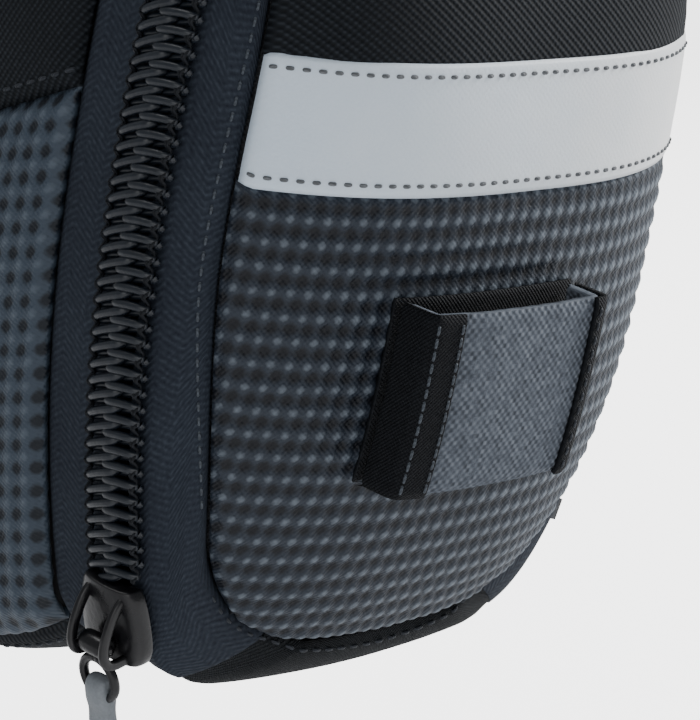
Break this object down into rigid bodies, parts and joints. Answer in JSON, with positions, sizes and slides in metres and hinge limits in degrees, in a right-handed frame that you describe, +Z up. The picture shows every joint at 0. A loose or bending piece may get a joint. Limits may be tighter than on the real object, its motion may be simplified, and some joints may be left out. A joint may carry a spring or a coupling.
{
  "type": "saddle bag",
  "caption": "Wedge-shaped saddle bag with a domed rear flap, zip along its rim, reflective stripe, light loop, straps for the saddle rails and a seat-post strap.",
  "frame": {"origin": "centre of the seat-post strap, on the seat post's axis", "axes": "+Z up, +Y forward, -Y to the rear flap, +X right as seen from behind; the seat post leans back by 17 degrees"},
  "size_m": [0.0982, 0.2251, 0.1575],
  "materials": {
    "upper_fabric": "rough",
    "lower_fabric": "rough",
    "tape": "rough",
    "webbing": "rough",
    "grey_webbing": "rough",
    "reflective": "satin",
    "foam": "matte",
    "lining": "satin",
    "board": "matte",
    "coil": "satin",
    "slider_black": "gloss",
    "pad_rubber": "matte",
    "tab_grey": "matte",
    "hook_black": "matte"
  },
  "bodies": {
    "bag": {"side_upper_left": "upper_fabric", "side_upper_right": "upper_fabric", "side_lower_left": "lower_fabric", "side_lower_right": "lower_fabric", "top_panel": "upper_fabric", "bottom_panel": "upper_fabric", "front_panel": "upper_fabric", "front_pad": "pad_rubber", "body_foam": "foam", "body_lining": "lining", "top_board": "board", "bottom_band": "upper_fabric", "rear_panel_heel": "lower_fabric", "tape_front": "tape", "tape_heel_left": "tape", "tape_heel_right": "tape", "coil_front": "coil", "end_stop": "coil", "seatpost_strap": "webbing", "seatpost_strap_tail": "webbing", "rail_strap_left": "webbing", "rail_strap_right": "webbing", "inner_pocket": "lining", "key_strap": "webbing", "key_hook": "hook_black"},
    "flap": {"rear_panel_upper": "upper_fabric", "reflective_stripe": "reflective", "rear_panel_lower": "lower_fabric", "tape_rear": "tape", "coil_rear": "coil", "light_loop": "grey_webbing", "light_loop_base": "webbing", "light_loop_binding": "webbing", "light_loop_edging": "webbing", "flap_board": "board", "flap_lining": "lining"},
    "slider": {"slider": "slider_black"},
    "pull_ring": {"pull_ring": "slider_black"},
    "pull_tab": {"pull_tab": "tab_grey"},
    "key_gate": {"key_gate": "hook_black"}
  },
  "joints": [
    {"name": "flap_hinge", "type": "hinge", "parent": "bag", "child": "flap", "pos_m": [0, -0.18209, -0.044], "axis": [1, 0, 0], "range_deg": [0, 75], "deforming": ["coil_rear"]},
    {"name": "slider_run", "type": "hinge", "parent": "bag", "child": "slider", "pos_m": [0.14768, -0.17651, 0.00758], "axis": [0, 0.9744, 0.225], "range_deg": [0, 16], "deforming": ["coil_front", "coil_rear"]},
    {"name": "ring_swing", "type": "hinge", "parent": "slider", "child": "pull_ring", "pos_m": [-0.04349, -0.16322, -0.05], "axis": [0, 0.9744, 0.225], "range_deg": [-5, 100]},
    {"name": "tab_swing", "type": "hinge", "parent": "pull_ring", "child": "pull_tab", "pos_m": [-0.04125, -0.16151, -0.05738], "axis": [0, 0.9744, 0.225], "range_deg": [-25, 60]},
    {"name": "key_gate_hinge", "type": "hinge", "parent": "bag", "child": "key_gate", "pos_m": [0.033, -0.12296, 0.0134], "axis": [1, 0, 0], "range_deg": [0, 30]}
  ]
}
